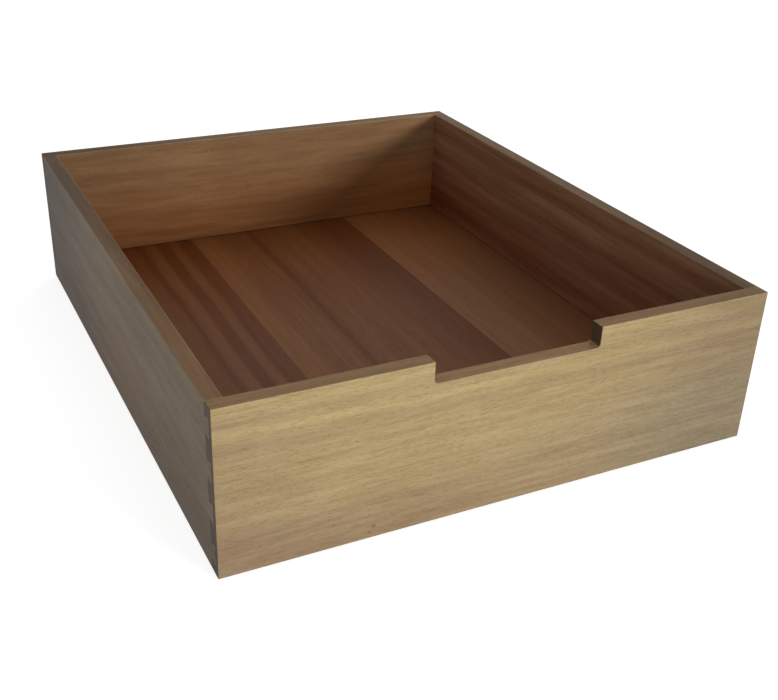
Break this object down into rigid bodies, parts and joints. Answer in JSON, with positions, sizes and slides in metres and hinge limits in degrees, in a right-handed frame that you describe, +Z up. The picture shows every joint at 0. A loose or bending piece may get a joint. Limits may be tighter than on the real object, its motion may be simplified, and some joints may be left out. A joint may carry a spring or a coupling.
{
  "type": "drawer box",
  "caption": "Open-topped solid wood drawer with lapped dovetail corners, a square finger notch in its front and a boarded floor held in grooves, for papers and small goods.",
  "frame": {"origin": "middle of the underside, on the plane that the drawer stands on", "axes": "+X to the right seen from the front, +Y from the notched front to the back, +Z up"},
  "size_m": [0.341, 0.405, 0.1],
  "materials": {
    "front_wood": "oiled satin, straw yellow with fine dark pores",
    "back_wood": "oiled satin, warm brown with ribbon bands",
    "side_wood": "oiled satin, mid brown with ribbon bands",
    "striped_floor_wood": "oiled satin, dark red-brown with light and dark stripes",
    "brown_floor_wood": "oiled satin, red-brown with a few dark streaks",
    "plain_floor_wood": "oiled satin, plain light red-brown"
  },
  "bodies": {
    "root": {"front_board": "front_wood", "back_board": "back_wood", "left_side": "side_wood", "right_side": "side_wood", "left_floor_board": "striped_floor_wood", "middle_floor_board": "brown_floor_wood", "right_floor_board": "plain_floor_wood"}
  },
  "joints": []
}
